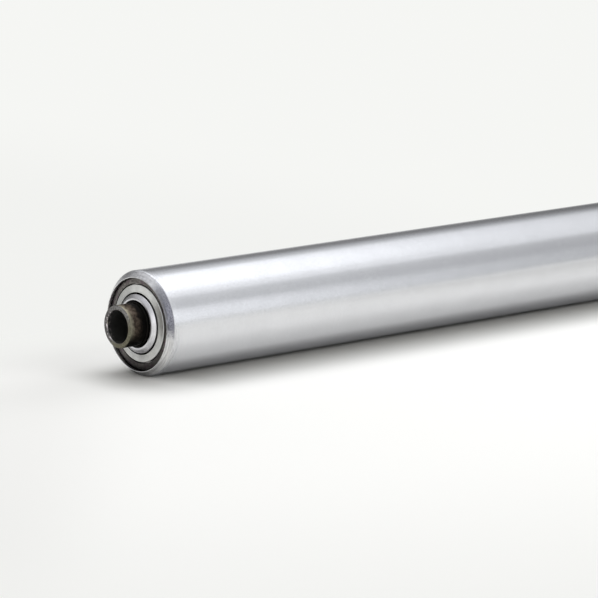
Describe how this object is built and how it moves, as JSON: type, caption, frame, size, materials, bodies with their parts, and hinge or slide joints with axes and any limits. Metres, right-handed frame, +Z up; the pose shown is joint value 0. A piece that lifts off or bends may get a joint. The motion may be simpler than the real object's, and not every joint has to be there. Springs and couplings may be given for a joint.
{
  "type": "conveyor roller",
  "caption": "Gravity conveyor roller: swaged steel tube turning on pressed ball bearings about a fixed hollow axle whose ends fasten between two side frames.",
  "frame": {"origin": "middle of the roller, on its axis, half way between the axle's two ends", "axes": "+Y along the axle towards the far end, +Z up as the roller lies in its conveyor, +X across the roller"},
  "size_m": [0.0427, 0.32, 0.0426],
  "materials": {
    "tube_steel": "bright zinc plate, satin",
    "axle_steel": "bare pipe, oiled and browned",
    "cup_steel": "dark oil-quenched pressing",
    "race_steel": "hardened and ground",
    "cone_steel": "blackened, oiled",
    "cover_zinc": "matt zinc plate",
    "dust_ring_steel": "bright plated",
    "spring_steel": "phosphated spring wire",
    "ball_steel": "polished"
  },
  "bodies": {
    "axle": {"axle": "axle_steel", "cone_near": "cone_steel", "dust_ring_near": "dust_ring_steel", "snap_ring_near": "spring_steel", "cone_far": "cone_steel", "dust_ring_far": "dust_ring_steel", "snap_ring_far": "spring_steel"},
    "roller": {"tube": "tube_steel", "bearing_cup_near": "cup_steel", "outer_race_near": "race_steel", "rear_shield_near": "cover_zinc", "cover_plate_near": "cover_zinc", "bearing_cup_far": "cup_steel", "outer_race_far": "race_steel", "rear_shield_far": "cover_zinc", "cover_plate_far": "cover_zinc"},
    "balls_near": {"ball_near_01": "ball_steel", "ball_near_02": "ball_steel", "ball_near_03": "ball_steel", "ball_near_04": "ball_steel", "ball_near_05": "ball_steel", "ball_near_06": "ball_steel", "ball_near_07": "ball_steel", "ball_near_08": "ball_steel", "ball_near_09": "ball_steel", "ball_near_10": "ball_steel", "ball_near_11": "ball_steel", "ball_near_12": "ball_steel", "ball_near_13": "ball_steel"},
    "balls_far": {"ball_far_01": "ball_steel", "ball_far_02": "ball_steel", "ball_far_03": "ball_steel", "ball_far_04": "ball_steel", "ball_far_05": "ball_steel", "ball_far_06": "ball_steel", "ball_far_07": "ball_steel", "ball_far_08": "ball_steel", "ball_far_09": "ball_steel", "ball_far_10": "ball_steel", "ball_far_11": "ball_steel", "ball_far_12": "ball_steel", "ball_far_13": "ball_steel"}
  },
  "joints": [
    {"name": "roller_spin", "type": "hinge", "parent": "axle", "child": "roller", "pos_m": [0, 0, 0], "axis": [0, 1, 0], "continuous": true},
    {"name": "balls_near_orbit", "type": "hinge", "parent": "axle", "child": "balls_near", "pos_m": [0, -0.1425, 0], "axis": [0, 1, 0], "continuous": true},
    {"name": "balls_far_orbit", "type": "hinge", "parent": "axle", "child": "balls_far", "pos_m": [0, 0.1425, 0], "axis": [0, 1, 0], "continuous": true}
  ],
  "couplings": [
    {"joint": "balls_near_orbit", "follows": "roller_spin", "ratio": 0.6172},
    {"joint": "balls_far_orbit", "follows": "roller_spin", "ratio": 0.6172}
  ]
}
